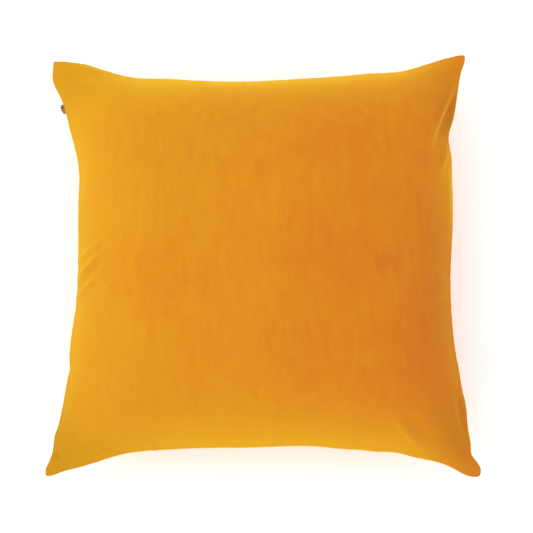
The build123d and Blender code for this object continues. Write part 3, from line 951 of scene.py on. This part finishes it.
def zip_metal_material():
    """Dyed metal of the slider and pull, with the paint thinned in places."""
    made, tree, principled = blank_material("zip_metal", Metallic=0.7)
    where = add(tree, "ShaderNodeTexCoord").outputs["Object"]
    rub = stretch_mask(tree, noise(tree, where, 420.0, 3.0), 0.42, 0.68)
    shade = between(tree, rub, colour(112, 64, 12), colour(158, 102, 34))
    tree.links.new(shade, principled.inputs["Base Color"])
    gloss = math_node(tree, "ADD", math_node(tree, "MULTIPLY", rub, 0.18), 0.3)
    tree.links.new(gloss, principled.inputs["Roughness"])
    bump(tree, principled, noise(tree, where, 1500.0), 0.15, 0.0001)
    return made


def floor_material():
    """A plain pale floor with a barely visible mottle."""
    made, tree, principled = blank_material(
        "pale_floor", Roughness=0.9, Emission_Color=(1, 1, 1, 1), Emission_Strength=0.18,
    )
    where = add(tree, "ShaderNodeTexCoord").outputs["Object"]
    shade = between(tree, noise(tree, where, 3.0), colour(250, 250, 249), colour(253, 253, 252))
    tree.links.new(shade, principled.inputs["Base Color"])
    return made


# ---------------------------------------------------------------- the picture
CAMERA_LENS = 85
CAMERA_DISTANCE = 1.429
CAMERA_TILT = math.radians(-9.21)  # about X, so that the -Y side is nearer
CAMERA_TURN = math.radians(-1.45)  # about Y, so that the +X side is nearer
CAMERA_ROLL = math.radians(0.42)
CAMERA_ASIDE = (8.06 * MM, -5.9 * MM)
KEY_PLACE = (-1.7, -0.1, 1.4)
KEY_SIZE = 1.8
KEY_POWER = 11
SURROUND_STRENGTH = 1.02
FLOOR_HALF = 4.0


def place_camera():
    """A camera almost straight above the cushion, tipped a little towards its -Y side."""
    turn = (
        Matrix.Rotation(CAMERA_ROLL, 3, "Z") @ Matrix.Rotation(CAMERA_TILT, 3, "X")
        @ Matrix.Rotation(CAMERA_TURN, 3, "Y")
    ).transposed()
    lens = bpy.data.cameras.new("camera")
    lens.lens = CAMERA_LENS
    camera = bpy.data.objects.new("camera", lens)
    camera.location = turn @ Vector((*CAMERA_ASIDE, CAMERA_DISTANCE)) + Vector((0, 0, SEAM_Z))
    camera.rotation_euler = turn.to_euler()
    bpy.context.scene.collection.objects.link(camera)
    bpy.context.scene.camera = camera


def area_light(name, place, size, power):
    """A square soft light aimed at the middle of the cushion."""
    lamp = bpy.data.lights.new(name, "AREA")
    lamp.size, lamp.energy = size, power
    light = bpy.data.objects.new(name, lamp)
    light.location = place
    towards = Vector((0, 0, SEAM_Z)) - Vector(place)
    light.rotation_euler = towards.to_track_quat("-Z", "Y").to_euler()
    bpy.context.scene.collection.objects.link(light)


def studio():
    """Floor, soft lights and a white surround."""
    scene = bpy.context.scene
    mesh = bpy.data.meshes.new("floor")
    signs = ((-1, -1), (1, -1), (1, 1), (-1, 1))
    corners = [(x * FLOOR_HALF, y * FLOOR_HALF, 0) for x, y in signs]
    mesh.from_pydata(corners, [], [(0, 1, 2, 3)])
    mesh.materials.append(floor_material())
    floor = bpy.data.objects.new("floor", mesh)
    scene.collection.objects.link(floor)
    area_light("key", KEY_PLACE, KEY_SIZE, KEY_POWER)
    world = bpy.data.worlds.new("surround")
    scene.world = world
    world.use_nodes = True
    world.node_tree.nodes["Background"].inputs["Color"].default_value = (1, 1, 1, 1)
    world.node_tree.nodes["Background"].inputs["Strength"].default_value = SURROUND_STRENGTH
    scene.view_settings.view_transform = "Standard"


# ---------------------------------------------------------------- making it
place_camera()
pile_shading = pile_group()
plain_weave = weave_group()
velvet = velvet_material()
cotton = woven_material("insert_cotton", colour(226, 223, 214), colour(240, 238, 231), 1500.0)
tape_cloth = woven_material("zip_tape", colour(168, 96, 16), colour(196, 118, 26), 2200.0)
label_cloth = woven_material(
    "label_satin", colour(228, 226, 220), colour(241, 240, 236), 3000.0, strength=0.2, rough=0.45
)
fibre = fibrous_material("fibre", colour(232, 232, 230), colour(246, 246, 245), 240.0)
gold_thread = fibrous_material("gold_thread", colour(186, 108, 18), colour(214, 134, 30), 1400.0)
pale_thread = fibrous_material("pale_thread", colour(232, 230, 224), colour(246, 245, 240), 1400.0)
nylon = fibrous_material(
    "zip_nylon", colour(168, 94, 16), colour(190, 112, 24), 900.0, rough=0.4
)
metal = zip_metal_material()

front_cloth, back_cloth = stuffed_cover()
panels = cover_panels(front_cloth, back_cloth)
insert = inner_cushion(front_cloth, back_cloth)

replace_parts(panels["front_velvet"], "front_panel")
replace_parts(panels["back_velvet"], "back_panel")
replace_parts(insert["front"], "insert_front")
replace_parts(insert["back"], "insert_back")
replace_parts(insert["filling"], "insert_filling")

sewn = {
    "cover_stitches": (cover_stitches(), gold_thread, "cover_thread", "cover_seam_thread"),
    "overlock_threads": (overlock_threads(), gold_thread, "overlock_thread", "overlock_edge"),
    "front_tape": (zip_tape(1), tape_cloth, "zip_tape", "zip_tape_front"),
    "back_tape": (zip_tape(-1), tape_cloth, "zip_tape", "zip_tape_back"),
    "front_coil": (zip_coil(1), nylon, "zip_coil", "zip_coil_front"),
    "back_coil": (zip_coil(-1), nylon, "zip_coil", "zip_coil_back"),
    "tape_stitches": (tape_stitches(), gold_thread, "cover_thread", "zip_stitching"),
    "bar_tack_threads": (bar_tacks(), gold_thread, "cover_thread", "zip_bar_tacks"),
}
for piece_name, (mesh_data, finish, finish_slot, node) in sewn.items():
    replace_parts(new_piece(piece_name, *mesh_data, finish, finish_slot), node)

kept_nodes = {
    "zip_slider": metal, "zip_pull": metal, "zip_top_stops": metal, "zip_bottom_stop": metal,
    "care_label": label_cloth, "insert_seam_thread": pale_thread,
    "insert_closing_stitch": pale_thread,
}
for node, finish in kept_nodes.items():
    for place in frame["nodes"][node].material_slots:
        place.material = finish

studio()
